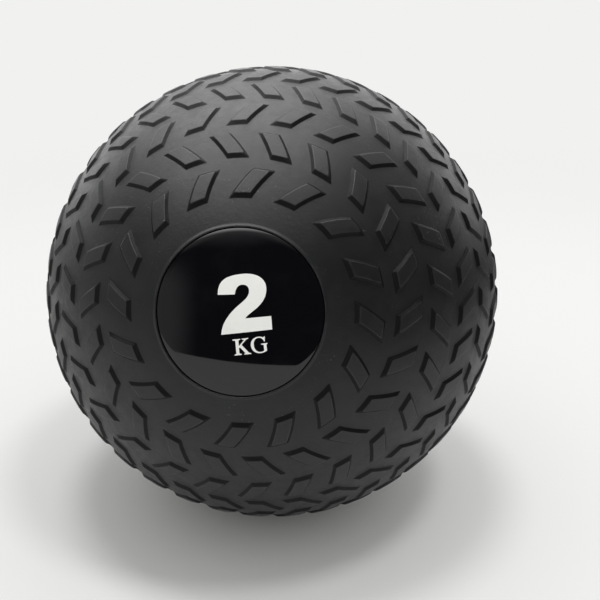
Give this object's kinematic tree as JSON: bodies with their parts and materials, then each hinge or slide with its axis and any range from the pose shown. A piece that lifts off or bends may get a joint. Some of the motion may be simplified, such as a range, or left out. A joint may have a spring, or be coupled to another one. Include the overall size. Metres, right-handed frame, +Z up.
{
  "type": "medicine ball",
  "caption": "Medicine ball with a thick moulded shell, rings of slanted tyre-tread lugs, a round glossy weight badge, a filler plug with a needle valve and a loose sand fill.",
  "frame": {"origin": "centre of the ball, which is also the centre of its hollow", "axes": "+Z up as the ball lies on the floor, -Y the side that the badge faces, with the badge's axis looking up 16 degrees from the horizontal and its mark leaning 8.6 degrees to the left, and +X to the right of someone who looks at the badge"},
  "size_m": [0.2298, 0.2279, 0.2298],
  "materials": {
    "shell_rubber": "matte",
    "adhesive": "satin",
    "badge_film": "satin",
    "badge_resin": "gloss",
    "badge_print": "gloss",
    "plug_rubber": "matte",
    "valve_rubber": "satin",
    "iron_sand": "matte"
  },
  "bodies": {
    "ball": {"ball_shell": "shell_rubber", "badge_adhesive": "adhesive", "badge_film": "badge_film", "badge_dome": "badge_resin", "filler_plug": "plug_rubber", "valve_core": "valve_rubber"},
    "sand": {"sand_fill": "iron_sand"}
  },
  "joints": [
    {"name": "sand_shift", "type": "hinge", "parent": "ball", "child": "sand", "pos_m": [0, 0, 0], "axis": [0, 1, 0], "continuous": true}
  ]
}
